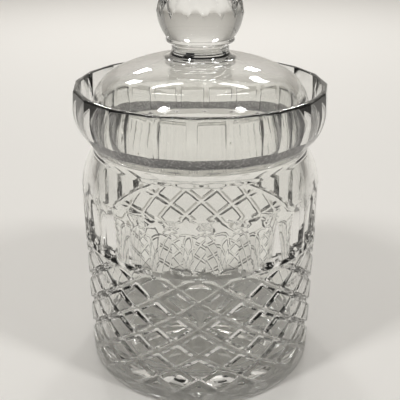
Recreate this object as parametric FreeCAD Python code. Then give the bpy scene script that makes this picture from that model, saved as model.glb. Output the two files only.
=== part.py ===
"""Cut-glass biscuit jar: a straight round jar with a cupped collar, and a domed lid with a knob.

Millimetres, +Z up. The origin is the centre of the base, and the front of the jar faces -Y.
Azimuths are in degrees from the front, positive towards +X.
"""
import FreeCAD, Part
import math
import os

# Jar body
body_radius = 62.7          # uncut outside of the straight wall
wall_thickness = 6.7        # wall before cutting
base_thickness = 14.0       # solid glass under the cavity
foot_round = 1.6            # rounding of the foot's lower edge
ring_height = 76.8          # middle of the ring groove round the body
ring_width = 1.8
ring_depth = 0.8

# Diamond cutting between the foot and the ring groove
diamond_count = 18          # diamonds round the body
diamond_rows = 9            # crossings from the ring groove down to the last one
diamond_depth = 2.4         # depth of the mitre cuts
diamond_land = 0.60         # share of each diamond that is left uncut
diamond_turn = -0.7         # azimuth of the crossing at the front
diamond_fade = 0.4          # how far the last cuts run on, in rows

# Upright flutes above the ring groove
flute_count = 24
flute_depth = 2.0
flute_width = 11.6
flute_top = 104.0           # where the cuts run out on the shoulder
flute_turn = 2.3            # azimuth of the flute at the front
flute_reach = 6.0           # how far the cutter stands out of the wall

# Shoulder, neck and collar
shoulder_start = 100.0
neck_height = 121.5         # where the shoulder meets the neck
neck_radius = 55.5
collar_bottom = 126.6
collar_bottom_radius = 57.8
collar_widest = 144.0
collar_radius = 64.6
collar_wall = 3.4
rim_height = 154.0
rim_radius = 63.9
rim_round = 1.2             # rounding of the rim's outer edge
collar_undercut = 1.5       # from the collar's lower edge down to where its underside meets the neck
panel_count = 20
panel_depth = 0.85          # how deep each collar panel is cut at its middle
panel_turn = -11.7          # azimuth of one panel's middle

# Store, mouth and seat
store_corner = 6.0          # rounding between the store's floor and wall
inner_drop = 4.0            # how far the inner shoulder lies under the outer one
mouth_radius = 49.0
seat_height = 129.5         # ground ledge that carries the lid
seat_gap = 1.6              # room round the lid inside the collar
rim_overrun = 1.0           # how far the cut of the collar's inside runs past the rim
cutter_reach = 4.0          # how far the panel cutters reach past the collar

# Star under the base
star_points = 18
star_radius = 43.0
star_recess = 1.2
star_depth = 1.6
star_hub = 3.0              # radius where the rays start
star_share = 0.9            # width of a ray as a share of its pitch

# Lid
lid_thickness = 5.3
lid_edge_height = 10.5      # upright edge that the panels are cut into
lid_rise = 37.5             # from the seat to the flat top under the knob
lid_shoulder_drop = 7.0     # from the flat top down to the dome's bend
lid_shoulder_in = 12.0      # from the lid's edge in to the dome's bend
lid_panel_depth = 0.9
lid_panel_count = 20
lid_panel_turn = 5.0
lid_panel_share = 0.80      # width of a panel as a share of its pitch
lid_wheel_radius = 36.0     # round of the wheel that cut the panels
lid_chamfer = 1.0
lid_bend_bulge = 0.16
lid_crown_bulge = 0.05
lid_inner_in = 0.6          # the inner bend's place, in lid thicknesses inwards
lid_inner_down = 0.8        # and downwards from the outer bend

# Knob
knob_stem_radius = 14.8
knob_stem_height = 7.4
knob_root_out = 1.2         # how far the stem's root stands out from the stem
knob_waist_in = 0.6         # how far the stem is drawn in above the root
knob_disc_radius = 17.0
knob_radius = 21.2
knob_height = 39.0          # from the lid's flat top to the top of the knob
knob_disc_height = 2.2
knob_flare_height = 2.4     # flare of the stem where it joins the lid
knob_swell = 0.07           # how round the body swells between the disc and the belly
knob_belly = 21.5           # height of the knob's widest ring above the lid's flat top
knob_facets = 16
knob_turn = 5.0
knob_facet_depth = 0.75
knob_low_lean = 12.0        # how far the lower facets lean up
knob_high_lean = 45.0       # how far the upper facets lean up
knob_high_distance = 19.3   # from the belly's middle to the upper facets

chord_length = 9.5          # a round part of a profile is cut straight in stretches about this long,
chord_turn = 16.0           # or that bend by this many degrees, whichever gives fewer

Z_AXIS = FreeCAD.Vector(0, 0, 1)
ORIGIN = FreeCAD.Vector(0, 0, 0)


def point(radius, azimuth, z):
    """Point at a radius, an azimuth in degrees from the front, and a height."""
    a = math.radians(azimuth)
    return FreeCAD.Vector(radius * math.sin(a), -radius * math.cos(a), z)


def line(a, b):
    """Straight profile edge between two (radius, height) pairs."""
    return Part.LineSegment(FreeCAD.Vector(a[0], 0, a[1]), FreeCAD.Vector(b[0], 0, b[1])).toShape()


def arc(a, mid, b):
    """Round profile edge through three (radius, height) pairs."""
    return Part.Arc(*[FreeCAD.Vector(p[0], 0, p[1]) for p in (a, mid, b)]).toShape()


def chords(edges):
    """Profile with each round edge turned into equal straight cuts, as a cutter leaves it."""
    result = []
    for edge in edges:
        if isinstance(edge.Curve, Part.Line):
            result.append(edge)
            continue
        turn = math.degrees(edge.LastParameter - edge.FirstParameter)
        count = min(math.ceil(edge.Length / chord_length), math.ceil(turn / chord_turn))
        points = edge.discretize(count + 1)
        result += [Part.LineSegment(p, q).toShape() for p, q in zip(points[:-1], points[1:])]
    return result


def tangent_mid(top, foot):
    """Middle of the arc that is upright at `top` and ends at `foot`, both (radius, height) pairs."""
    dr, dz = top[0] - foot[0], top[1] - foot[1]
    radius = (dr * dr + dz * dz) / (2 * dr)
    angle = math.asin(dz / radius) / 2
    return (top[0] - radius * (1 - math.cos(angle)), top[1] - radius * math.sin(angle))


def revolve(edges):
    """Solid of revolution about Z from a closed chain of profile edges."""
    return Part.Face(Part.Wire(chords(edges))).revolve(ORIGIN, Z_AXIS, 360)


def turned(shape, azimuth):
    """Copy of a shape made at the front, turned to an azimuth."""
    copy = shape.copy()
    copy.rotate(ORIGIN, Z_AXIS, azimuth)
    return copy


def around(shape, count, turn):
    """Equal copies of a shape round the axis."""
    return [turned(shape, turn + 360.0 * k / count) for k in range(count)]


def ring_point(u, v, radius):
    """Point of the diamond pattern: u in half diamonds round the body, v in rows below the ring."""
    row = ring_height / (diamond_rows + 1)
    return point(radius, diamond_turn + 180.0 * u / diamond_count, ring_height - v * row)


def fan(points):
    """Flat triangles that fill a polygon from its first corner."""
    faces = []
    for b, c in zip(points[1:-1], points[2:]):
        faces.append(Part.Face(Part.makePolygon([points[0], b, c, points[0]])))
    return faces


def diamond_column(u, shift):
    """Faces of the half columns on both sides of one azimuth: uncut lands and the mitres' slopes."""
    land, groove, last = diamond_land, body_radius - diamond_depth, diamond_rows
    end = last + diamond_fade

    def bottom(uu, v):
        depth = groove if v > 0 else body_radius - ring_depth
        return ring_point(uu, v, depth)

    faces = []
    for v in range(shift, last + 1, 2):
        left, right = ring_point(u - land, v, body_radius), ring_point(u + land, v, body_radius)
        if v > 0:
            up = ring_point(u, v - land, body_radius)
            faces += fan([up, left, right])
            faces += fan([up, bottom(u, v - 1), bottom(u - 1, v), left])
            faces += fan([up, right, bottom(u + 1, v), bottom(u, v - 1)])
        if v < last:
            down = ring_point(u, v + land, body_radius)
            faces += fan([down, right, left])
            faces += fan([down, left, bottom(u - 1, v), bottom(u, v + 1)])
            faces += fan([down, bottom(u, v + 1), bottom(u + 1, v), right])
        else:
            low_left, low_right, out_left, out_right = [
                ring_point(u + side, end, body_radius) for side in (-land, land, -1, 1)]
            faces += fan([left, low_left, low_right, right])
            faces += fan([left, out_left, low_left]) + fan([right, low_right, out_right])
            faces += fan([left, bottom(u - 1, v), out_left]) + fan([right, out_right, bottom(u + 1, v)])
    return faces


def diamond_band():
    """Solid disc whose rim carries the diamonds, from the end of the cuts up to the ring groove."""
    faces, top, low = [], [], []
    last_shift = diamond_rows % 2
    for k in range(2 * diamond_count):
        shift = (k + 1) % 2
        faces += diamond_column(k, shift)
        if shift == 0:
            top += [ring_point(k + side, 0, body_radius) for side in (-diamond_land, diamond_land)]
        else:
            top.append(ring_point(k, 0, body_radius - ring_depth))
        end = diamond_rows + diamond_fade
        if shift == last_shift:
            low += [ring_point(k + side, end, body_radius) for side in (-diamond_land, diamond_land)]
        else:
            low.append(ring_point(k, end, body_radius))
    for outline in (top, low):
        faces.append(Part.Face(Part.makePolygon(outline + [outline[0]])))
    shell = Part.makeShell(faces)
    shell.sewShape()
    band = Part.makeSolid(shell)
    if band.Volume < 0:
        band.reverse()
    return band


def foot():
    """Plain foot band under the diamonds, with a rounded lower edge."""
    top = ring_point(0, diamond_rows + diamond_fade, 0).z
    inner, r = body_radius - foot_round, foot_round
    bend = (inner + r * math.sin(math.pi / 4), r * (1 - math.cos(math.pi / 4)))
    return revolve([line((0, 0), (inner, 0)), arc((inner, 0), bend, (body_radius, r)),
                    line((body_radius, r), (body_radius, top)), line((body_radius, top), (0, top)),
                    line((0, top), (0, 0))])


def collar_outline():
    """Outer profile of the collar from its lower edge to the rim, as edges and end points."""
    low, widest = (collar_bottom_radius, collar_bottom), (collar_radius, collar_widest)
    rim, rim_top = (rim_radius, rim_height - rim_round), (rim_radius - rim_round, rim_height)
    bend = (rim_top[0] + rim_round * math.cos(math.pi / 4), rim[1] + rim_round * math.sin(math.pi / 4))
    edges = [arc(low, tangent_mid(widest, low), widest), line(widest, rim), arc(rim, bend, rim_top)]
    return edges, low, rim_top


def upper_outside():
    """Everything outside above the ring groove's middle, as if the jar were solid glass."""
    groove_low, groove_top = ring_height, ring_height + ring_width / 2
    shoulder, neck = (body_radius, shoulder_start), (neck_radius, neck_height)
    edges, collar_low, rim_top = collar_outline()
    inner = body_radius - ring_depth
    under = (neck_radius, collar_bottom - collar_undercut)
    wall = [line((0, groove_low), (inner, groove_low)),
            line((inner, groove_low), (body_radius, groove_top)),
            line((body_radius, groove_top), shoulder), arc(shoulder, tangent_mid(shoulder, neck), neck),
            line(neck, under), line(under, collar_low)]
    closing = [line(rim_top, (0, rim_height)), line((0, rim_height), (0, groove_low))]
    return revolve(wall + edges + closing)


def flute_cutter():
    """Wedge that cuts one upright flute at the front; its edge leans out and leaves at the top."""
    half, out = flute_width / 2, flute_reach
    low = ring_height + ring_width / 2
    sections = []
    for z, depth in ((low, flute_depth), (flute_top, 0.0)):
        tip = body_radius - depth
        spread = half * (depth + out) / flute_depth
        corners = [FreeCAD.Vector(0, -tip, z), FreeCAD.Vector(spread, -(tip + depth + out), z),
                   FreeCAD.Vector(-spread, -(tip + depth + out), z)]
        sections.append(Part.makePolygon(corners + corners[:1]))
    return Part.makeLoft(sections, True, True)


def panel_cutter():
    """Flat-across cutter that follows the collar's own profile, sunk to the panel depth."""
    edges, low, rim_top = collar_outline()
    far = collar_radius + 2 * cutter_reach
    half = math.tan(math.pi / panel_count) * (collar_radius + cutter_reach)
    top, bottom = rim_height + cutter_reach, low[1] - cutter_reach
    corners = [rim_top, (rim_top[0], top), (far, top), (far, bottom), (low[0], bottom), low]
    chain = [line(a, b) for a, b in zip(corners[:-1], corners[1:])]
    face = Part.Face(Part.Wire(chords(edges) + chain))
    face.translate(FreeCAD.Vector(-panel_depth, -half, 0))
    cutter = face.extrude(FreeCAD.Vector(0, 2 * half, 0))
    return turned(cutter, -90)


def cavity():
    """Inside of the jar: round store, inner shoulder, mouth, ground seat and collar bowl."""
    store = body_radius - wall_thickness
    inset = store_corner * (1 - math.sin(math.pi / 4))
    floor, wall = (store - store_corner, base_thickness), (store, base_thickness + store_corner)
    shoulder, mouth = (store, shoulder_start - inner_drop), (mouth_radius, neck_height - inner_drop)
    seat = (seat_radius(), seat_height)
    widest = (collar_radius - collar_wall, collar_widest)
    rim = (rim_radius - collar_wall, rim_height + rim_overrun)
    return revolve([line((0, base_thickness), floor),
                    arc(floor, (store - inset, base_thickness + inset), wall), line(wall, shoulder),
                    arc(shoulder, tangent_mid(shoulder, mouth), mouth),
                    line(mouth, (mouth_radius, seat_height)),
                    line((mouth_radius, seat_height), seat), arc(seat, tangent_mid(widest, seat), widest),
                    line(widest, rim), line(rim, (0, rim[1])), line((0, rim[1]), (0, base_thickness))])


def lid_radius():
    """Outer radius of the lid's edge, which clears the collar by the seat gap."""
    return seat_radius() - seat_gap


def seat_radius():
    """Outer radius of the ground seat, a collar wall inside the collar at that height."""
    dr, dz = collar_radius - collar_bottom_radius, collar_widest - collar_bottom
    bend = (dr * dr + dz * dz) / (2 * dr)
    rise = collar_widest - seat_height
    return collar_radius - (bend - math.sqrt(bend * bend - rise * rise)) - collar_wall


def star():
    """Cutters for the recess under the base and its radial mitres."""
    recess = Part.makeCylinder(star_radius, star_recess)
    half = math.pi * star_radius / star_points * star_share
    tip = FreeCAD.Vector(0, -star_hub, star_recess)
    outer = [FreeCAD.Vector(x, -star_radius, z) for x, z in
             ((-half, star_recess), (half, star_recess), (0, star_recess + star_depth))]
    faces = [Part.Face(Part.makePolygon(p + p[:1])) for p in
             ([tip, outer[0], outer[1]], [tip, outer[1], outer[2]], [tip, outer[2], outer[0]], outer)]
    ray = Part.makeSolid(Part.makeShell(faces))
    return [recess] + around(ray, star_points, diamond_turn)


def jar():
    """The vessel: foot, diamond band and upper outside in one piece, then the cuts and the cavity."""
    solid = foot().fuse([diamond_band(), upper_outside()])
    flutes = around(flute_cutter(), flute_count, flute_turn)
    panels = around(panel_cutter(), panel_count, panel_turn)
    return solid.cut(flutes + panels).cut([cavity()] + star())


def lid_top():
    """Height of the flat top that carries the knob."""
    return seat_height + lid_rise


def bulge(a, b, share):
    """Point beside the middle of a chord, out from the axis and up by a share of its length."""
    dr, dz = b[0] - a[0], b[1] - a[1]
    return ((a[0] + b[0]) / 2 + dz * share, (a[1] + b[1]) / 2 - dr * share)


def lid():
    """Domed cover: revolved shell with a ground ring under it and panels cut round the edge."""
    r, low, top = lid_radius(), seat_height, lid_top()
    edge, bend = (r, low + lid_edge_height), (r - lid_shoulder_in, top - lid_shoulder_drop)
    crown = (knob_stem_radius + knob_root_out, top)
    foot_in, foot_out = (r - lid_thickness, low), (r - lid_chamfer, low)
    dome = revolve([line((0, low), foot_out), line(foot_out, (r, low + lid_chamfer)),
                    line((r, low + lid_chamfer), edge), arc(edge, bulge(edge, bend, lid_bend_bulge), bend),
                    arc(bend, bulge(bend, crown, lid_crown_bulge), crown), line(crown, (0, top)),
                    line((0, top), (0, low))])
    inside = (foot_in[0], edge[1])
    inner_bend = (bend[0] - lid_thickness * lid_inner_in, bend[1] - lid_thickness * lid_inner_down)
    inner_top = (lid_thickness, top - lid_thickness)
    hollow = revolve([line((0, low), foot_in), line(foot_in, inside),
                      arc(inside, bulge(inside, inner_bend, lid_bend_bulge), inner_bend),
                      arc(inner_bend, bulge(inner_bend, inner_top, lid_crown_bulge), inner_top),
                      line(inner_top, (0, inner_top[1])), line((0, inner_top[1]), (0, low))])
    return dome.cut([hollow] + around(lid_panel_cutter(), lid_panel_count, lid_panel_turn))


def lid_panel_cutter():
    """Wheel that cuts one panel into the lid's upright edge and runs out above and below it."""
    half = math.pi / lid_panel_count * lid_radius() * lid_panel_share
    axis_radius = lid_radius() - lid_panel_depth + lid_wheel_radius
    middle = seat_height + lid_edge_height / 2
    return Part.makeCylinder(lid_wheel_radius, 2 * half, FreeCAD.Vector(-half, -axis_radius, middle),
                             FreeCAD.Vector(1, 0, 0))


def knob_body():
    """Uncut knob: stem with a waist, flat disc and swelling body, left straight where the facets cut it."""
    top = lid_top()
    waist, root = knob_stem_radius - knob_waist_in, knob_stem_radius + knob_root_out
    disc = knob_disc_radius
    disc_low, disc_high = top + knob_stem_height, top + knob_stem_height + knob_disc_height
    belly, crown = (knob_radius, top + knob_belly), (knob_radius, top + knob_height)
    flare = top + knob_flare_height
    return revolve([line((0, top), (root, top)), line((root, top), (waist, flare)),
                    line((waist, flare), (waist, disc_low)), line((waist, disc_low), (disc, disc_low)),
                    line((disc, disc_low), (disc, disc_high)),
                    arc((disc, disc_high), bulge((disc, disc_high), belly, knob_swell), belly),
                    line(belly, crown), line(crown, (0, crown[1])), line((0, crown[1]), (0, top))])


def facet_cutter(lean, distance, azimuth):
    """Block whose near face is a plane at a distance from the knob's middle, leaning up by an angle."""
    size = 4 * knob_radius
    block = Part.makeBox(size, size, size, FreeCAD.Vector(-size / 2, -size - distance, -size / 2))
    block.rotate(ORIGIN, FreeCAD.Vector(1, 0, 0), -lean)
    block.translate(FreeCAD.Vector(0, 0, lid_top() + knob_belly))
    return turned(block, azimuth)


def lid_knob():
    """Finial: the knob body with two rings of flat facets round its upper half."""
    step = 360.0 / knob_facets
    cutters = []
    for k in range(knob_facets):
        azimuth = knob_turn + k * step
        cutters.append(facet_cutter(knob_low_lean, knob_radius - knob_facet_depth, azimuth))
        cutters.append(facet_cutter(knob_high_lean, knob_high_distance, azimuth + step / 2))
    return knob_body().cut(cutters)


def main():
    """Write one STEP file for each piece."""
    os.makedirs("parts", exist_ok=True)
    for name, build in (("jar", jar), ("lid", lid), ("lid_knob", lid_knob)):
        shape = build()
        print(name, "solids", len(shape.Solids), "valid", shape.isValid(), "volume", round(shape.Volume))
        shape.Solids[0].exportStep("parts/" + name + ".step")


main()
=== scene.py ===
import math
import bpy
import numpy as np
from bpy.props import FloatProperty, FloatVectorProperty, PointerProperty
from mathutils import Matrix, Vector


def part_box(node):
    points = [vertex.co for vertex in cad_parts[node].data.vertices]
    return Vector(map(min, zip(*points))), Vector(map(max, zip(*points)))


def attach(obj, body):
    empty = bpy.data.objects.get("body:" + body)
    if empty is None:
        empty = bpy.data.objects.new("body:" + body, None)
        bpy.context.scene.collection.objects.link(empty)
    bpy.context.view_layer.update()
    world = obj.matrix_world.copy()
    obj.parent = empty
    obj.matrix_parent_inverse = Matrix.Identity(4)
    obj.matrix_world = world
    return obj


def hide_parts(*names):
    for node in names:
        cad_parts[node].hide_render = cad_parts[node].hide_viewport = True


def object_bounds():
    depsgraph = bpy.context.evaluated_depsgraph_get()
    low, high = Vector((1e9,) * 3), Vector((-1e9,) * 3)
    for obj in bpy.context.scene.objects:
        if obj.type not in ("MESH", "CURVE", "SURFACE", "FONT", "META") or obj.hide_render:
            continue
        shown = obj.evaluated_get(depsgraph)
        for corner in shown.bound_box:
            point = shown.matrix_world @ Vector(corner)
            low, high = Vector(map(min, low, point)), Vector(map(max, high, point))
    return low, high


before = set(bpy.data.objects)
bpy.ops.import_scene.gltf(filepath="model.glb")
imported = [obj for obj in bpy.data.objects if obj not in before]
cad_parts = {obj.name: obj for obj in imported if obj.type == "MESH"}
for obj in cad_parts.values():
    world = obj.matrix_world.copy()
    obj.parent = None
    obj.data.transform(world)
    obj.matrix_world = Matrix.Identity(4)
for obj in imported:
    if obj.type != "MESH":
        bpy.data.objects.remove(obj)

bl_info = {
    "name": "Cut-glass biscuit jar",
    "version": (1, 0, 0),
    "blender": (4, 5, 0),
    "location": "View3D > Sidebar > Biscuit Jar",
    "description": "Builds the cut jar, its domed lid and the facet-cut knob round their measured frame",
    "category": "Add Mesh",
}

MM = 0.001
CAD_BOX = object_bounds()
JAR_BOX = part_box("jar")
LID_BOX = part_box("lid")
KNOB_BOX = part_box("lid_knob")
GROUND = 1                    # material slot of the ground rings; slot 0 is the clear glass

# Jar: columns of its round skin, one per degree, and where its cuts lie among them
COLUMNS = 360
FRONT = math.radians(-0.7)    # azimuth of column 0, a crossing of the diamond cuts
DIAMOND_CELLS = 10            # grid cells for one step between crossings
DIAMOND_END = 94              # grid rows from the ring groove down to the end of the cuts
DIAMOND_CROSSINGS = 10        # half diamonds from the ring groove to the base plane
DIAMOND_BOTTOM = 0.92         # share of the full depth at which a cut's bottom is rounded off
DIAMOND_FADE_LOW = 0.4        # half diamonds over which the lowest cuts run out
DIAMOND_FADE_TOP = (0.3, 0.6)  # plain band under the ring and the run-out below it, in half diamonds
FLUTE_PERIOD, FLUTE_MIDDLE, FLUTE_EDGE = 15, 3, 5
FLUTE_HALF = math.radians(5.3)  # half a flute's width at its lower end
FLUTE_ROWS = 15
FLUTE_RUN = (0.999, 2.5)      # how far the run-out goes up, and its power
FLUTE_RIDGE = np.array([0.45, 0.12, 0.0]) * MM  # rounding of the ridge, from its edge to its middle
PANEL_PERIOD, PANEL_CREASE = 18, 16
STAR_PERIOD, STAR_EDGE = 20, 9
STAR_HUB = 0.07               # share of the star's radius where its rays start

# Jar: small roundings and offsets
SHOULDER_CLEAR = 1.2 * MM     # from the flutes' top up to the shoulder's first row
NECK_UNDERCUT = 1.5 * MM      # from the collar's lower edge down to where its underside starts
NECK_STEPS = ((0.0, -0.8), (0.25, 0.0), (1.2, 0.75))  # out and up in mm, under the collar
RIM_LIP = 1.2 * MM            # rounding of the rim's outer edge
RIM_INSIDE = ((0.9, 0.0), (0.35, -0.12), (0.05, -0.7))  # out and up in mm, rounding of the inner edge
SEAT_GROUND = 7               # row of the bowl where the ground seat starts
MOUTH_STEP = 0.6 * MM         # first row of the mouth under the seat
INNER_DROP = 4 * MM           # how far the inner shoulder lies under the outer one
STORE_CORNER = 6 * MM         # rounding between the store's floor and wall
STORE_HEIGHT = 80 * MM        # where the store's wall rows start
STORE_CLEAR = 4 * MM          # and how far above the corner they end

# Lid and knob: columns of their skin, two per degree, and where the cuts lie among them
LID_COLUMNS = 720
LID_STEP = 2 * math.pi / LID_COLUMNS
LID_FRONT = math.radians(-1.0)  # azimuth of column 0
LID_BULGES = (0.16, 0.05)     # height of the bend's and the crown's arcs, as shares of their chords
LID_PANEL_PERIOD, LID_PANEL_HALF, LID_PANEL_MIDDLE = 36, 14, 12
LID_ROWS_TOP = 6.5 * MM       # how far above the upright edge the panels' rows go
LID_INNER = (0.4, 0.2)        # how much less the inner bend goes in and down, in thicknesses
LID_FOOT, LID_CHAMFER = 2 * MM, 1 * MM  # inner wall's lowest row, and the chamfer outside
LID_CREASE = 0.2 * MM         # a panel's side is sharp until it comes this near to the dome
LID_CLEAR = 0.3 * MM          # room between the panels' last row and the crown's first
AIR = 0.06 * MM               # film of air between the two ground rings
KNOB_FACETS, KNOB_PERIOD, KNOB_MIDDLE = 16, 45, 12
KNOB_STEPS = 7                # gaps between the rows of each part of the cut knob
KNOB_MEET = 0.05 * MM         # least room between the mitre cuts and the upper facets
ROOT_OVER = 1.2 * MM          # how far the lid's flat top reaches out from the stem
ROOT_OUT, ROOT_HEIGHT = 1.8 * MM, 4 * MM  # flare of the stem's root
STEM_TOP = ((0.0, -1.4), (0.1, -0.5), (0.7, 0.0))  # out from the stem and up from the disc, in mm
DISC_EDGE = ((-0.5, 0.0), (-0.1, 0.25), (0.0, 0.8), (0.0, 1.5), (-0.15, 2.0))  # out and up, in mm
DISC_TOP = 2.4 * MM           # height of the disc

# Finishes
STREAKS, POLISH, GRAIN = (18.0, 3.0), (140.0, 2.0), (900.0, 4.0)  # scale and detail of the noises
GLINT_RANGE = (0.50, 0.66)    # noise values where the painted glints, bright specks in the ground colour, start and are full

# Photograph and stage
FRAME_PIXELS = 400
SENSOR = 36.0                 # width of the camera's sensor in mm
SHIFT_PIXELS = -0.3           # the jar's axis stands this far off the frame's middle
FLOOR_SIZE, BACKDROP_SIZE = 6.0, 4.0
BACKDROP_PLACE = (0, 2.1, 1.9)
JAR_MIDDLE = (0, 0, 0.1)

# Lamps: name, place, width and height in metres, power in watts, point that each faces
LAMPS = (
    ("key", (-0.70, -0.55, 1.2), (0.16, 0.30), 6.5, JAR_MIDDLE),
    ("fill", (0.75, -0.50, 1.15), (0.14, 0.28), 5.0, JAR_MIDDLE),
    ("back_left", (-0.42, 1.25, 0.85), (0.14, 0.10), 2.5, JAR_MIDDLE),
    ("back_right", (0.36, 1.25, 0.85), (0.12, 0.10), 2.5, JAR_MIDDLE),
    ("wash", (0.0, 1.2, 1.9), (1.5, 0.3), 14.0, (0, 2.1, 0.6)),
)


class JarSizes(bpy.types.PropertyGroup):
    """Sizes of the jar's walls and cuts."""
    body_radius: FloatProperty(
        name="Body radius", description="Uncut outside of the straight wall",
        default=62.7 * MM, unit="LENGTH")
    wall: FloatProperty(
        name="Wall", description="Thickness of the straight wall before cutting",
        default=6.7 * MM, unit="LENGTH")
    base: FloatProperty(
        name="Base", description="Thickness of the solid base", default=14.0 * MM, unit="LENGTH")
    foot_round: FloatProperty(
        name="Foot rounding", description="Rounding of the lower edge", default=1.6 * MM, unit="LENGTH")
    ring_height: FloatProperty(
        name="Ring height", description="Middle of the groove round the body",
        default=76.8 * MM, unit="LENGTH")
    ring_width: FloatProperty(
        name="Ring width", description="Width of the ring groove", default=2.6 * MM, unit="LENGTH")
    ring_depth: FloatProperty(
        name="Ring depth", description="Depth of the ring groove", default=1.1 * MM, unit="LENGTH")
    diamond_depth: FloatProperty(
        name="Diamond depth", description="Depth of the crossing mitre cuts",
        default=2.3 * MM, unit="LENGTH")
    diamond_land: FloatProperty(
        name="Diamond land", description="Share of each diamond left uncut",
        default=0.7, subtype="FACTOR")
    flute_depth: FloatProperty(
        name="Flute depth", description="Depth of the upright flutes", default=2.6 * MM, unit="LENGTH")
    flute_top: FloatProperty(
        name="Flute top", description="Height where the flutes run out",
        default=104.0 * MM, unit="LENGTH")
    shoulder_start: FloatProperty(
        name="Shoulder start", description="Height where the wall bends in",
        default=100.0 * MM, unit="LENGTH")
    neck_height: FloatProperty(
        name="Neck height", description="Height where the shoulder meets the neck",
        default=121.5 * MM, unit="LENGTH")
    neck_radius: FloatProperty(
        name="Neck radius", description="Outside of the neck", default=55.5 * MM, unit="LENGTH")
    collar_bottom: FloatProperty(
        name="Collar bottom", description="Height of the collar's lower edge",
        default=126.6 * MM, unit="LENGTH")
    collar_bottom_radius: FloatProperty(
        name="Collar bottom radius", description="Radius of the collar's lower edge",
        default=57.8 * MM, unit="LENGTH")
    collar_widest: FloatProperty(
        name="Collar widest", description="Height of the collar's widest ring",
        default=144.0 * MM, unit="LENGTH")
    collar_radius: FloatProperty(
        name="Collar radius", description="Radius of the collar's widest ring",
        default=64.6 * MM, unit="LENGTH")
    collar_wall: FloatProperty(
        name="Collar wall", description="Thickness of the collar", default=3.4 * MM, unit="LENGTH")
    rim_radius: FloatProperty(
        name="Rim radius", description="Outside of the rim", default=63.9 * MM, unit="LENGTH")
    panel_depth: FloatProperty(
        name="Panel depth", description="Depth of the collar panels at their middle",
        default=0.85 * MM, unit="LENGTH")
    rim_height: FloatProperty(
        name="Rim height", description="Height of the rim", default=float(JAR_BOX[1][2]), unit="LENGTH")
    seat_height: FloatProperty(
        name="Seat height", description="Height of the ground seat",
        default=float(LID_BOX[0][2]), unit="LENGTH")
    mouth_radius: FloatProperty(
        name="Mouth radius", description="Radius of the mouth", default=49.0 * MM, unit="LENGTH")
    star_radius: FloatProperty(
        name="Star radius", description="Radius of the star under the base",
        default=43.0 * MM, unit="LENGTH")
    star_recess: FloatProperty(
        name="Star recess", description="Depth of the recess that holds the star",
        default=1.2 * MM, unit="LENGTH")
    star_depth: FloatProperty(
        name="Star depth", description="Depth of the star's rays at their outer ends",
        default=1.6 * MM, unit="LENGTH")


class LidSizes(bpy.types.PropertyGroup):
    """Sizes of the lid and its knob."""
    thickness: FloatProperty(
        name="Lid thickness", description="Thickness of the dome", default=5.3 * MM, unit="LENGTH")
    edge_height: FloatProperty(
        name="Edge height", description="Height of the upright edge", default=10.5 * MM, unit="LENGTH")
    shoulder_drop: FloatProperty(
        name="Shoulder drop", description="From the flat top down to the dome's bend",
        default=7.0 * MM, unit="LENGTH")
    shoulder_in: FloatProperty(
        name="Shoulder in", description="From the edge in to the dome's bend",
        default=12.0 * MM, unit="LENGTH")
    panel_depth: FloatProperty(
        name="Panel depth", description="Depth of the panels cut round the edge",
        default=0.9 * MM, unit="LENGTH")
    wheel_radius: FloatProperty(
        name="Wheel radius", description="Radius of the wheel that cut the panels",
        default=36.0 * MM, unit="LENGTH")
    stem_radius: FloatProperty(
        name="Stem radius", description="Radius of the knob's stem", default=14.2 * MM, unit="LENGTH")
    disc_height: FloatProperty(
        name="Disc height", description="From the lid's top to the knob's disc",
        default=7.4 * MM, unit="LENGTH")
    disc_radius: FloatProperty(
        name="Disc radius", description="Radius of the knob's disc", default=17.0 * MM, unit="LENGTH")
    knob_radius: FloatProperty(
        name="Knob radius", description="Radius of the knob at its belly",
        default=21.2 * MM, unit="LENGTH")
    belly_height: FloatProperty(
        name="Belly height", description="From the lid's top to the knob's belly",
        default=21.5 * MM, unit="LENGTH")
    swell: FloatProperty(
        name="Swell", description="How round the knob is below its belly",
        default=0.07, subtype="FACTOR")
    facet_depth: FloatProperty(
        name="Facet depth", description="Depth of the lower facets at the belly",
        default=0.75 * MM, unit="LENGTH")
    notch_drop: FloatProperty(
        name="Cuts' drop", description="From the belly down to the points of the cuts",
        default=1.6 * MM,
        unit="LENGTH")
    notch_height: FloatProperty(
        name="Cuts' height", description="From the points of the cuts up to where they meet",
        default=7.0 * MM,
        unit="LENGTH")
    notch_slope: FloatProperty(
        name="Cuts' slope", description="Depth of the cuts for each length upwards",
        default=0.36, subtype="FACTOR")
    low_lean: FloatProperty(
        name="Lower facets' lean", description="How far the lower facets lean in",
        default=math.radians(12),
        unit="ROTATION")
    high_lean: FloatProperty(
        name="Upper facets' lean", description="How far the upper facets lean in",
        default=math.radians(45),
        unit="ROTATION")
    high_distance: FloatProperty(
        name="Upper facets' distance", description="From the belly's middle to the upper facets",
        default=19.3 * MM, unit="LENGTH")


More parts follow.
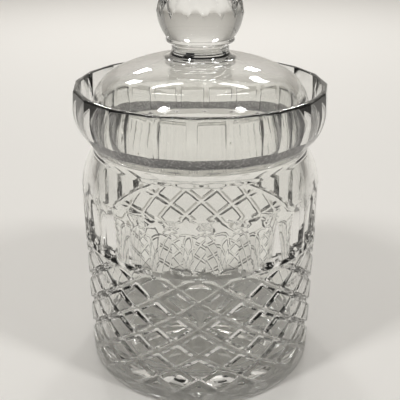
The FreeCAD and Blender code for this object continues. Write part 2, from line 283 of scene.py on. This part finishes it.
class GlassFinish(bpy.types.PropertyGroup):
    """Colours and surface of the glass."""
    tint: FloatVectorProperty(
        name="Tint", description="Colour of the clear glass", subtype="COLOR",
        default=(0.975, 0.975, 0.962))
    tint_deep: FloatVectorProperty(
        name="Deep tint", description="Colour of the faint streaks in the melt", subtype="COLOR",
        default=(0.95, 0.955, 0.94))
    ior: FloatProperty(
        name="Index of refraction", description="Lead crystal bends light this much", default=1.545)
    waviness: FloatProperty(
        name="Waviness", description="Depth of the polish marks", default=0.02 * MM, unit="LENGTH")
    ground: FloatVectorProperty(
        name="Ground glass", description="Colour of the ground seat rings between the grains", subtype="COLOR",
        default=(0.20, 0.195, 0.205))
    # painted glints: the colour of the bright specks stands in for light caught by the ground grains
    ground_painted_glints: FloatVectorProperty(
        name="Ground specks", description="Colour of the bright grains of the ground rings", subtype="COLOR",
        default=(0.62, 0.61, 0.62))
    ground_clear: FloatProperty(
        name="Ground share of light", description="Share of the light that passes the ground rings",
        default=0.45, subtype="FACTOR")
    ground_roughness: FloatProperty(
        name="Ground roughness", description="Roughness of the ground rings",
        default=0.4, subtype="FACTOR")
    ground_relief: FloatProperty(
        name="Ground relief", description="Depth of the grain of the ground rings", default=0.15 * MM,
        unit="LENGTH")


class StageLook(bpy.types.PropertyGroup):
    """Floor, backdrop, lamps and camera."""
    floor: FloatVectorProperty(
        name="Floor", description="Colour of the pale floor", subtype="COLOR",
        default=(0.80, 0.78, 0.745))
    backdrop: FloatVectorProperty(
        name="Backdrop", description="Colour of the pale backdrop", subtype="COLOR",
        default=(0.26, 0.25, 0.232))
    focal_pixels: FloatProperty(
        name="Focal length in pixels", description="Camera's focal length in a 400 pixel frame",
        default=650.0)
    tilt: FloatProperty(
        name="Tilt", description="How far the camera looks down",
        default=math.radians(24.3), unit="ROTATION")
    distance: FloatProperty(
        name="Distance", description="From the jar's axis to the camera, level",
        default=324.0 * MM, unit="LENGTH")
    height: FloatProperty(
        name="Height", description="Height of the camera above the floor",
        default=234.5 * MM, unit="LENGTH")


def bend_radius(inward, along):
    """Radius of the circle that leaves a line by `inward` over the length `along` of that line.

    It is (inward squared + along squared) / (2 inward).
    """
    return (inward * inward + along * along) / (2 * inward)


def arc_points(upright, other, count):
    """Points (radius, height) by equal angles on the circle that is upright at the first end given."""
    dr, dz = upright[0] - other[0], upright[1] - other[1]
    radius = bend_radius(dr, dz)
    angles = np.linspace(0.0, math.asin(dz / radius), count)
    return np.stack([upright[0] - radius * (1 - np.cos(angles)), upright[1] - radius * np.sin(angles)], axis=1)


def offset_points(radius, height, steps):
    """Points (radius, height) that stand off one point by steps in millimetres."""
    return [(radius + out * MM, height + up * MM) for out, up in steps]


def bulge_points(a, b, share, count):
    """Points (radius, height) on the circle through two ends and a point off the chord's middle.

    The arc's height is the share times the chord, and the points are stepped by equal angles.
    """
    a, b = np.array(a), np.array(b)
    chord = b - a
    length = np.hypot(*chord)
    side = np.array([chord[1], -chord[0]]) / length
    rise = share * length
    radius = bend_radius(rise, length / 2)
    centre = (a + b) / 2 + side * (rise - radius)
    half = math.asin(length / 2 / radius)
    angles = np.linspace(-half, half, count)
    return centre + radius * (np.cos(angles)[:, None] * side + np.sin(angles)[:, None] * chord / length)


def skin(name, radii, heights, azimuths, slot_of_row, crease, flip=None):
    """Closed glass skin from rows of radius, height and azimuth, with a single point at each end.

    Point (i, j) lies at radius r, turned by its azimuth from -Y towards +X. Quads between rows are cut
    along one diagonal; `flip` marks the quads cut along the other one, so that no cut crosses a crease.
    """
    rows, columns = radii.shape
    x, y = radii * np.sin(azimuths), -radii * np.cos(azimuths)
    grid = np.stack([x, y, heights], axis=2).reshape(-1, 3)
    ends = np.array([[0, 0, heights[0].mean()], [0, 0, heights[-1].mean()]])
    points = np.concatenate([grid, ends])
    row, column = np.meshgrid(np.arange(rows - 1), np.arange(columns), indexing="ij")
    after = (column + 1) % columns
    a, b = row * columns + column, row * columns + after
    c, d = (row + 1) * columns + after, (row + 1) * columns + column
    if flip is None:
        flip = np.zeros_like(a, bool)
    first = np.where(flip[..., None], np.stack([a, b, d], -1), np.stack([a, b, c], -1))
    second = np.where(flip[..., None], np.stack([b, c, d], -1), np.stack([a, c, d], -1))
    ring = np.arange(columns)
    start, finish = rows * columns, rows * columns + 1
    low = np.stack([np.full(columns, start), (ring + 1) % columns, ring], -1)
    last = (rows - 1) * columns
    high = np.stack([np.full(columns, finish), last + ring, last + (ring + 1) % columns], -1)
    triangles = np.concatenate([first.reshape(-1, 3), second.reshape(-1, 3), low, high])
    slots = np.repeat(np.asarray(slot_of_row)[:rows - 1], columns)
    slots = np.concatenate([slots, slots, np.full(2 * columns, 0)])
    return mesh_object(name, points, triangles, slots, np.append(crease.reshape(-1), [False, False]))


def mesh_object(name, points, triangles, slots, crease):
    """Mesh object from point and triangle arrays; an edge is sharp where both its ends are creased."""
    mesh = bpy.data.meshes.new(name)
    mesh.vertices.add(len(points))
    mesh.vertices.foreach_set("co", points.astype(np.float32).ravel())
    mesh.loops.add(3 * len(triangles))
    mesh.loops.foreach_set("vertex_index", triangles.astype(np.int32).ravel())
    mesh.polygons.add(len(triangles))
    mesh.polygons.foreach_set("loop_start", np.arange(0, 3 * len(triangles), 3, dtype=np.int32))
    mesh.polygons.foreach_set("material_index", slots.astype(np.int32))
    mesh.polygons.foreach_set("use_smooth", np.ones(len(triangles), bool))
    mesh.update(calc_edges=True)
    mesh.validate()
    ends = np.empty(2 * len(mesh.edges), np.int32)
    mesh.edges.foreach_get("vertices", ends)
    ends = ends.reshape(-1, 2)
    sharp = crease[ends[:, 0]] & crease[ends[:, 1]]
    mesh.edges.foreach_set("use_edge_sharp", sharp)
    piece = bpy.data.objects.new(name, mesh)
    bpy.context.scene.collection.objects.link(piece)
    return piece


class Rows:
    """Collects the rows of a round skin: radius, height, azimuth, crease and the slot of the gap above."""

    def __init__(self, azimuths):
        """Start with no rows, over the azimuths that hold where a row gives none of its own."""
        self.azimuths = azimuths
        self.parts = []

    def add(self, radii, heights, azimuths=None, crease=False, slot=0):
        """Add rows given point by point."""
        rows = len(radii)
        full = np.broadcast_to(self.azimuths if azimuths is None else azimuths, radii.shape)
        marks = np.broadcast_to(np.asarray(crease), radii.shape)
        self.parts.append((radii, np.broadcast_to(heights, radii.shape), full, marks, np.full(rows, slot)))

    def ring(self, profile, crease=False, slot=0):
        """Add one constant row for each (radius, height) pair of a round profile."""
        profile, columns = np.asarray(profile, float), len(self.azimuths)
        radii = np.repeat(profile[:, :1], columns, axis=1)
        heights = np.repeat(profile[:, 1:], columns, axis=1)
        self.add(radii, heights, crease=crease, slot=slot)

    def stacked(self):
        """Radius, height, azimuth, crease and slot, each as one array over all rows."""
        return [np.concatenate(column) for column in zip(*self.parts)]


def offsets(columns, period, middle):
    """Signed column distance from each column to the nearest middle of a repeating cut."""
    return (np.arange(columns) - middle + period // 2) % period - period // 2


def flat_between(inner, outer, share, half):
    """Radius on the straight line from `inner` at angle 0 to `outer` at angle `half`.

    For an angle a this is inner outer sin(half) / (inner sin(a) + outer sin(half - a)).
    """
    angle = share * half
    return inner * outer * np.sin(half) / (inner * np.sin(angle) + outer * np.sin(half - angle))


def shoulder_radius(z, s):
    """Outside radius of wall and shoulder: straight, then the arc that is upright where it starts."""
    bend = bend_radius(s.body_radius - s.neck_radius, s.neck_height - s.shoulder_start)
    rise = np.maximum(z - s.shoulder_start, 0.0)
    return s.body_radius - bend + np.sqrt(bend * bend - rise * rise)


def star_rows(rows, s):
    """Star under the base: rays whose depth grows with the radius and falls off to both edges."""
    offset = np.abs(offsets(COLUMNS, STAR_PERIOD, 0))
    ray = np.maximum(0.0, 1 - offset / STAR_EDGE)
    radii = np.linspace(STAR_HUB, 1.0, 9)[:, None] * s.star_radius * np.ones(COLUMNS)
    heights = s.star_recess + s.star_depth * ray * radii / s.star_radius
    rows.add(radii, heights, crease=(offset == 0) | (offset == STAR_EDGE))
    rows.ring([(s.star_radius, 0.0)], crease=True)


def foot_rows(rows, s):
    """Ring that the jar stands on, its rounded edge and the plain band up to the cuts."""
    inner = s.body_radius - s.foot_round
    turn = np.linspace(-math.pi / 2, 0, 6)
    rows.ring([((s.star_radius + inner) / 2, 0.0)])
    rows.ring(np.stack([inner + s.foot_round * np.cos(turn), s.foot_round + s.foot_round * np.sin(turn)], 1))


def diamond_rows(rows, s):
    """Two families of mitre cuts that cross: depth falls evenly with the distance from the nearest cut.

    With u in half diamonds round the body and v in rows down from the ring, the cuts lie where u + v or
    u - v is even; the distance is taken to the nearer one, and the cut's bottom is rounded a little.
    Returns which grid quads are split along their other diagonal.
    """
    cell, period = DIAMOND_CELLS, 2 * DIAMOND_CELLS
    down = np.arange(DIAMOND_END, -1, -1)[:, None]
    across = np.arange(COLUMNS)[None, :]
    first, second = (across + down) % period, (across - down) % period
    distance = np.minimum(np.minimum(first, period - first), np.minimum(second, period - second)) / cell
    width = 1 - s.diamond_land
    share = np.minimum(np.clip(1 - distance / width, 0, 1), DIAMOND_BOTTOM)
    v, (band, run_out) = down / cell, DIAMOND_FADE_TOP
    fade = np.clip((DIAMOND_END / cell - v) / DIAMOND_FADE_LOW, 0, 1)
    fade = fade * np.sqrt(np.clip((v - band) / run_out, 0, 1))
    step = s.ring_height / DIAMOND_CROSSINGS
    heights = s.ring_height - v * step
    heights = np.where(down == 1, s.ring_height - s.ring_width / 2, heights) * np.ones(COLUMNS)
    ring = s.ring_depth * np.clip(1 - np.abs(heights - s.ring_height) / (s.ring_width / 2), 0, 1)
    depth = np.maximum(s.diamond_depth * share * fade, ring)
    crease = (np.isclose(distance, width) & (fade > 0)) | (down <= 1)
    rows.add(s.body_radius - depth, heights, crease=crease)
    return (across + down[1:]) % 2 == 0


def flute_rows(rows, s):
    """Upright mitre flutes that grow shallower and narrower until they run out on the shoulder.

    What is left of a flute at a share of its height is the root of 1 less that share to a power.
    """
    low, (reach, power) = s.ring_height + s.ring_width / 2, FLUTE_RUN
    heights = np.linspace(low, s.flute_top, FLUTE_ROWS)[:, None]
    run = (heights - low) / (s.flute_top - low)
    left = np.sqrt(1 - (reach * run) ** power)
    outside = shoulder_radius(heights, s)
    offset = offsets(COLUMNS, FLUTE_PERIOD, FLUTE_MIDDLE)[None, :]
    side = np.abs(offset)
    half = FLUTE_HALF * left
    pitch_half = math.radians(FLUTE_PERIOD / 2)
    inside = np.minimum(side / FLUTE_EDGE, 1.0)
    past = half + (side - FLUTE_EDGE) / (FLUTE_PERIOD / 2 - FLUTE_EDGE) * (pitch_half - half)
    turn = np.where(side <= FLUTE_EDGE, inside * half, past)
    azimuths = rows.azimuths[None, :] - np.radians(offset) + np.sign(offset) * turn
    cut = flat_between(outside - s.flute_depth * left, outside, inside, half)
    ridge = FLUTE_RIDGE[np.clip(side - FLUTE_EDGE, 0, 2)] * left
    radii = np.where(side < FLUTE_EDGE, cut - FLUTE_RIDGE[0] * left * inside, outside - ridge)
    crease = np.broadcast_to((side == FLUTE_EDGE) | (side == 0), radii.shape).copy()
    crease[0] = True
    rows.add(radii, heights * np.ones(COLUMNS), azimuths=azimuths, crease=crease)


def neck_rows(rows, s):
    """Shoulder above the flutes, the neck and the hollow under the collar."""
    heights = np.linspace(s.flute_top + SHOULDER_CLEAR, s.neck_height, 12)
    rows.ring(np.stack([shoulder_radius(heights, s), heights], 1))
    rows.ring(offset_points(s.neck_radius, s.collar_bottom - NECK_UNDERCUT, NECK_STEPS))


def collar_rows(rows, s):
    """Collar cut into flat panels: the profile's radius less the cut, over the cosine from each middle."""
    low, widest = (s.collar_bottom_radius, s.collar_bottom), (s.collar_radius, s.collar_widest)
    turn = np.linspace(0.0, math.pi / 2, 6)[1:]
    lip_in, lip_down = RIM_LIP * (1 - np.cos(turn)), RIM_LIP * (1 - np.sin(turn))
    rim = np.stack([s.rim_radius - lip_in, s.rim_height - lip_down], 1)
    bowl = arc_points(widest, low, 14)[::-1]
    profile = np.concatenate([bowl, [(s.rim_radius, s.rim_height - RIM_LIP)], rim])
    offset = offsets(COLUMNS, PANEL_PERIOD, PANEL_CREASE + PANEL_PERIOD // 2)
    radii = (profile[:, :1] - s.panel_depth) / np.cos(np.radians(offset))[None, :]
    rows.add(radii, profile[:, 1:] * np.ones(COLUMNS), crease=(np.abs(offset) == PANEL_PERIOD // 2))


def seat_radius(s):
    """Outer radius of the ground seat: the collar's radius at that height less its wall."""
    bend = bend_radius(s.collar_radius - s.collar_bottom_radius, s.collar_widest - s.collar_bottom)
    rise = s.collar_widest - s.seat_height
    return s.collar_radius - (bend - math.sqrt(bend * bend - rise * rise)) - s.collar_wall


def inside_rows(rows, s):
    """Inside of the collar, the ground seat, the mouth, the inner shoulder, the store and its floor."""
    widest = (s.collar_radius - s.collar_wall, s.collar_widest)
    seat = (seat_radius(s), s.seat_height)
    rows.ring(offset_points(s.rim_radius - s.collar_wall, s.rim_height, RIM_INSIDE))
    bowl = arc_points(widest, seat, 12)
    rows.ring(bowl[:SEAT_GROUND])
    rows.ring(bowl[SEAT_GROUND:-1], slot=GROUND)
    rows.ring([seat], crease=True, slot=GROUND)
    rows.ring([(s.mouth_radius, s.seat_height)], crease=True)
    rows.ring([(s.mouth_radius, s.seat_height - MOUTH_STEP)])
    store = s.body_radius - s.wall
    mouth, shoulder = (s.mouth_radius, s.neck_height - INNER_DROP), (store, s.shoulder_start - INNER_DROP)
    rows.ring(arc_points(shoulder, mouth, 12)[::-1])
    rows.ring([(store, z) for z in np.linspace(STORE_HEIGHT, s.base + STORE_CORNER + STORE_CLEAR, 4)])
    turn = np.linspace(0, math.pi / 2, 8)
    corner_in, corner_up = STORE_CORNER * (1 - np.cos(turn)), STORE_CORNER * (1 - np.sin(turn))
    rows.ring(np.stack([store - corner_in, s.base + corner_up], 1))
    rows.ring([(store * share, s.base) for share in (0.6, 0.3, 0.05)])


def build_jar():
    """The whole vessel as one closed skin, from the middle of the star to the middle of the store's floor."""
    s = bpy.context.scene.jar_sizes
    rows = Rows(FRONT + np.radians(np.arange(COLUMNS)))
    star_rows(rows, s)
    foot_rows(rows, s)
    before = sum(len(part[0]) for part in rows.parts)
    flips = diamond_rows(rows, s)
    flute_rows(rows, s)
    neck_rows(rows, s)
    collar_rows(rows, s)
    inside_rows(rows, s)
    radii, heights, azimuths, crease, slots = rows.stacked()
    flip = np.ones((len(radii) - 1, COLUMNS), bool)
    flip[before:before + len(flips)] = ~flips
    return skin("jar_glass", radii, heights, azimuths, slots, crease, flip)


def dome_profile(low, inset, drop_in, drop_down, top_radius, top):
    """Bend and crown of the dome as one row of points, from the upright wall to the flat top."""
    bend = (inset - drop_in, top - drop_down)
    first = bulge_points((inset, low), bend, LID_BULGES[0], 14)
    second = bulge_points(bend, (top_radius, top), LID_BULGES[1], 10)
    return np.concatenate([first, second[1:]])


def lid_rows(rows, s):
    """The dome, from the middle of its underside down the inside and up the outside to the knob's stem.

    Each panel is the cut of a wheel: at height h from its middle the plane lies at the lid's radius less
    the depth, less the wheel's radius, plus the root of wheel squared less h squared, over the cosine of
    the angle from the panel's middle.
    """
    r, low, top = float(LID_BOX[1][0]), float(LID_BOX[0][2]), float(KNOB_BOX[0][2])
    edge, t = low + s.edge_height, s.thickness
    less_in, less_down = LID_INNER
    inner = dome_profile(edge, r - t, s.shoulder_in - less_in * t, s.shoulder_drop - less_down * t,
                         t, top - t)
    rows.ring([(share * t, top - t) for share in (0.1, 0.5)])
    rows.ring(inner[::-1])
    rows.ring([(r - t, low + LID_FOOT)])
    rows.ring([(r - t, low + AIR)], crease=True, slot=GROUND)
    rows.ring([(r - LID_CHAMFER, low + AIR)], crease=True)
    offset = offsets(LID_COLUMNS, LID_PANEL_PERIOD, LID_PANEL_MIDDLE)
    side = LID_STEP * np.abs(offset)
    heights = np.linspace(low + LID_CHAMFER, edge + LID_ROWS_TOP, 16)
    outer = dome_profile(edge, r, s.shoulder_in, s.shoulder_drop, s.stem_radius + ROOT_OVER, top)
    outside = np.where(heights <= edge, r, np.interp(heights, *outer.T[::-1]))[:, None]
    rise = heights[:, None] - (low + s.edge_height / 2)
    plane = r - s.panel_depth - s.wheel_radius + np.sqrt(s.wheel_radius ** 2 - rise ** 2)
    cut = plane / np.cos(side)[None, :]
    inside = (np.abs(offset) <= LID_PANEL_HALF)[None, :]
    radii = np.where(inside, np.minimum(outside, cut), outside * np.ones(LID_COLUMNS))
    rows.add(radii, heights[:, None] * np.ones(LID_COLUMNS),
             crease=(np.abs(offset) == LID_PANEL_HALF)[None, :] & (cut < outside + LID_CREASE))
    rows.ring(outer[outer[:, 1] > heights[-1] + LID_CLEAR])


def knob_rows(rows, s):
    """The finial from its stem up: flare, disc, swelling body, pointed mitre cuts and flat facets.

    A facet leaning by an angle b at a distance d from the belly's middle lies, at the height h above the
    belly and the angle a from its middle, at the radius (d - h sin b) / (cos b cos a). A mitre cut takes
    off a slope times the height above its pointed lower end, which climbs evenly to both sides. Each
    point takes the smaller radius of the two.
    """
    base, top = float(KNOB_BOX[0][2]), float(KNOB_BOX[1][2])
    disc, belly, waist = base + s.disc_height, base + s.belly_height, s.stem_radius
    sweep = np.linspace(0, 1, 10)[1:]
    rows.ring(np.stack([waist + ROOT_OUT * (1 - sweep) ** 2, base + ROOT_HEIGHT * sweep], 1))
    rows.ring(offset_points(waist, disc, STEM_TOP))
    rows.ring(offset_points(s.disc_radius, disc, DISC_EDGE))
    swell = bulge_points((s.disc_radius, disc + DISC_TOP), (s.knob_radius, belly), s.swell, 16)
    side = offsets(LID_COLUMNS, KNOB_PERIOD, KNOB_MIDDLE)
    half, pitch = KNOB_PERIOD // 2, math.pi / KNOB_FACETS
    part = np.where(side < 0, -side / (half + 1), side / half)
    high_angle = (1 - part) * pitch
    azimuths = rows.azimuths - LID_STEP * side + np.sign(side) * part * pitch

    def facet(heights, lean, distance, angle):
        """Radius of a leaning flat facet at some heights."""
        return (distance - (heights - belly) * math.sin(lean)) / (math.cos(lean) * np.cos(angle))

    def parts(heights):
        """Radius of the belly with its mitre cuts, and of the upper facets, at some heights."""
        swelling = np.interp(heights, swell[:, 1], swell[:, 0])
        low_distance = s.knob_radius - s.facet_depth
        leaning = np.minimum(s.knob_radius, facet(heights, s.low_lean, low_distance, pitch))
        blank = np.where(heights < belly, swelling, leaning)
        notch = s.notch_slope * np.maximum(0, heights - tip - s.notch_height * part)
        return blank - notch, facet(heights, s.high_lean, s.high_distance, high_angle)

    tip, first = belly - s.notch_drop, len(swell) // 2
    rows.ring(swell[:first])
    samples = np.linspace(belly, top, 500)[:, None]
    low, high = parts(samples)
    cross = samples[np.argmax(high < low, axis=0), 0]
    enter = np.minimum(tip + s.notch_height * part, cross - KNOB_MEET)
    share = np.linspace(0, 1, KNOB_STEPS + 1)[:, None]
    heights = np.concatenate([(swell[first, 1] + (enter - swell[first, 1]) * share)[:-1],
                              (enter + (cross - enter) * share)[:-1], cross + (top - cross) * share])
    radii = np.minimum.reduce(parts(heights))
    crease = np.zeros_like(radii, bool)
    crease[[KNOB_STEPS, 2 * KNOB_STEPS, -1]] = True
    crease[KNOB_STEPS:2 * KNOB_STEPS + 1] |= (side == half) | (side == 0)
    crease[2 * KNOB_STEPS:] |= side == 0
    rows.add(radii, heights, azimuths=azimuths, crease=crease)
    rows.add(radii[-1:] * np.array([[0.55], [0.1]]), np.full((2, LID_COLUMNS), top), azimuths=azimuths)


def build_lid():
    """Dome and knob as one closed skin, because the knob is fused to the dome."""
    s = bpy.context.scene.lid_sizes
    rows = Rows(LID_FRONT + LID_STEP * np.arange(LID_COLUMNS))
    lid_rows(rows, s)
    knob_rows(rows, s)
    radii, heights, azimuths, crease, slots = rows.stacked()
    return skin("lid_glass", radii, heights, azimuths, slots, crease)


def shader_of(name):
    """New material with nodes, and its shader."""
    material = bpy.data.materials.new(name)
    material.use_nodes = True
    return material, material.node_tree.nodes["Principled BSDF"]


def noise_node(material, scale_detail):
    """Noise over the piece's own coordinates."""
    nodes, links = material.node_tree.nodes, material.node_tree.links
    place, noise = nodes.new("ShaderNodeTexCoord"), nodes.new("ShaderNodeTexNoise")
    noise.inputs["Scale"].default_value, noise.inputs["Detail"].default_value = scale_detail
    links.new(place.outputs["Object"], noise.inputs["Vector"])
    return noise


def mix_colours(material, shader, share, first, second):
    """Base colour that goes from the first to the second colour with a share."""
    mix = material.node_tree.nodes.new("ShaderNodeMix")
    mix.data_type = "RGBA"
    mix.inputs["A"].default_value = (*first, 1)
    mix.inputs["B"].default_value = (*second, 1)
    material.node_tree.links.new(share, mix.inputs["Factor"])
    material.node_tree.links.new(mix.outputs["Result"], shader.inputs["Base Color"])


def add_relief(material, shader, noise, depth):
    """Fine relief of a given depth from a noise."""
    bump = material.node_tree.nodes.new("ShaderNodeBump")
    bump.inputs["Strength"].default_value = 1.0
    bump.inputs["Distance"].default_value = depth
    material.node_tree.links.new(noise.outputs["Fac"], bump.inputs["Height"])
    material.node_tree.links.new(bump.outputs["Normal"], shader.inputs["Normal"])


def glass_material(name, finish):
    """Clear crystal: faint streaks in the colour and shallow polish marks, both from noise."""
    material, shader = shader_of(name)
    shader.inputs["Transmission Weight"].default_value = 1.0
    shader.inputs["IOR"].default_value = finish.ior
    shader.inputs["Roughness"].default_value = 0.0
    streaks = noise_node(material, STREAKS)
    mix_colours(material, shader, streaks.outputs["Fac"], finish.tint, finish.tint_deep)
    add_relief(material, shader, noise_node(material, POLISH), finish.waviness)
    return material


def ground_material(name, finish):
    """Ground glass of the seat rings: dark grey, with painted glints, bright specks in the colour where fine
    grains would catch the light.
    """
    material, shader = shader_of(name)
    shader.inputs["Transmission Weight"].default_value = finish.ground_clear
    shader.inputs["IOR"].default_value = finish.ior
    shader.inputs["Roughness"].default_value = finish.ground_roughness
    grain = noise_node(material, GRAIN)
    # painted glints: the grain noise picks where the colour turns to the bright specks
    painted_glints = material.node_tree.nodes.new("ShaderNodeMapRange")
    painted_glints.inputs["From Min"].default_value, painted_glints.inputs["From Max"].default_value = GLINT_RANGE
    material.node_tree.links.new(grain.outputs["Fac"], painted_glints.inputs["Value"])
    # painted glints: the bright specks are mixed into the ground glass's dark grey colour
    mix_colours(material, shader, painted_glints.outputs["Result"], finish.ground, finish.ground_painted_glints)
    add_relief(material, shader, grain, finish.ground_relief)
    return material


def plain_material(name, colour, roughness):
    """Even colour for the floor and the backdrop."""
    material, shader = shader_of(name)
    shader.inputs["Base Color"].default_value = (*colour, 1)
    shader.inputs["Roughness"].default_value = roughness
    return material


def finish_glass(piece, body, names):
    """Give a glass piece its two materials, let it ride on its body and stand in for its CAD nodes."""
    look = bpy.context.scene.glass_finish
    clear = bpy.data.materials.get("crystal_clear") or glass_material("crystal_clear", look)
    ground = bpy.data.materials.get("crystal_ground") or ground_material("crystal_ground", look)
    piece.data.materials.append(clear)
    piece.data.materials.append(ground)
    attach(piece, body)
    for name in names:
        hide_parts(name)


class BISCUITJAR_OT_jar(bpy.types.Operator):
    """Build the vessel with its diamonds, flutes, collar panels, seat and star"""
    bl_idname = "biscuitjar.jar"
    bl_label = "Jar"

    def execute(self, context):
        finish_glass(build_jar(), "jar", ("jar",))
        return {"FINISHED"}


class BISCUITJAR_OT_lid(bpy.types.Operator):
    """Build the domed lid with the panels round its edge and the knob fused to it"""
    bl_idname = "biscuitjar.lid"
    bl_label = "Lid"

    def execute(self, context):
        finish_glass(build_lid(), "lid", ("lid", "lid_knob"))
        return {"FINISHED"}


def lamp(name, place, size, power, aim):
    """Rectangular soft lamp that faces a point."""
    data = bpy.data.lights.new(name, "AREA")
    data.shape, data.size, data.size_y, data.energy = "RECTANGLE", size[0], size[1], power
    piece = bpy.data.objects.new(name, data)
    bpy.context.scene.collection.objects.link(piece)
    piece.location = place
    piece.rotation_euler = (Vector(aim) - Vector(place)).to_track_quat("-Z", "Y").to_euler()


def plain_plane(name, size, place, turn, colour, roughness):
    """Square plane of the stage with an even colour."""
    bpy.ops.mesh.primitive_plane_add(size=size, location=place, rotation=turn)
    piece = bpy.context.active_object
    piece.name = name
    piece.data.materials.append(plain_material(name + "_pale", colour, roughness))


def set_world(look):
    """Dim pale room: the camera and the glass see the same backdrop colour."""
    world = bpy.context.scene.world or bpy.data.worlds.new("room")
    bpy.context.scene.world = world
    world.use_nodes = True
    background = world.node_tree.nodes["Background"]
    background.inputs["Color"].default_value = (*look.backdrop, 1)
    background.inputs["Strength"].default_value = 1.0


class BISCUITJAR_OT_stage(bpy.types.Operator):
    """Set up the floor, the backdrop, the lamps and the camera"""
    bl_idname = "biscuitjar.stage"
    bl_label = "Stage"

    def execute(self, context):
        look = context.scene.stage_look
        ground = float(CAD_BOX[0][2])
        plain_plane("floor", FLOOR_SIZE, (0, 0, ground), (0, 0, 0), look.floor, 0.7)
        plain_plane("backdrop", BACKDROP_SIZE, BACKDROP_PLACE, (math.pi / 2, 0, 0), look.floor, 0.9)
        set_world(look)
        for values in LAMPS:
            lamp(*values)
        data = bpy.data.cameras.new("camera")
        camera = bpy.data.objects.new("camera", data)
        context.scene.collection.objects.link(camera)
        data.sensor_width = SENSOR
        data.lens = SENSOR * look.focal_pixels / FRAME_PIXELS
        data.shift_x = SHIFT_PIXELS / FRAME_PIXELS
        data.clip_start = 0.01
        camera.location = (0, -look.distance, look.height)
        camera.rotation_euler = (math.pi / 2 - look.tilt, 0, 0)
        context.scene.camera = camera
        context.scene.view_settings.view_transform = "Standard"
        return {"FINISHED"}


class BISCUITJAR_PT_panel(bpy.types.Panel):
    """Buttons for the pieces of the jar and the stage"""
    bl_label = "Biscuit Jar"
    bl_idname = "BISCUITJAR_PT_panel"
    bl_space_type = "VIEW_3D"
    bl_region_type = "UI"
    bl_category = "Biscuit Jar"

    def draw(self, context):
        for operator in OPERATORS:
            self.layout.operator(operator.bl_idname)


GROUPS = ((JarSizes, "jar_sizes"), (LidSizes, "lid_sizes"), (GlassFinish, "glass_finish"),
          (StageLook, "stage_look"))
OPERATORS = (BISCUITJAR_OT_jar, BISCUITJAR_OT_lid, BISCUITJAR_OT_stage)


def register():
    """Register the groups, the operators and the panel."""
    for group, name in GROUPS:
        bpy.utils.register_class(group)
        setattr(bpy.types.Scene, name, PointerProperty(type=group))
    for item in OPERATORS + (BISCUITJAR_PT_panel,):
        bpy.utils.register_class(item)


def unregister():
    """Take back what register did, in the other order."""
    for item in reversed(OPERATORS + (BISCUITJAR_PT_panel,)):
        bpy.utils.unregister_class(item)
    for group, name in reversed(GROUPS):
        delattr(bpy.types.Scene, name)
        bpy.utils.unregister_class(group)


def main():
    """Build every piece and the stage."""
    register()
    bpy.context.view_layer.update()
    bpy.ops.biscuitjar.jar()
    bpy.ops.biscuitjar.lid()
    bpy.ops.biscuitjar.stage()


if __name__ == "__main__":
    main()
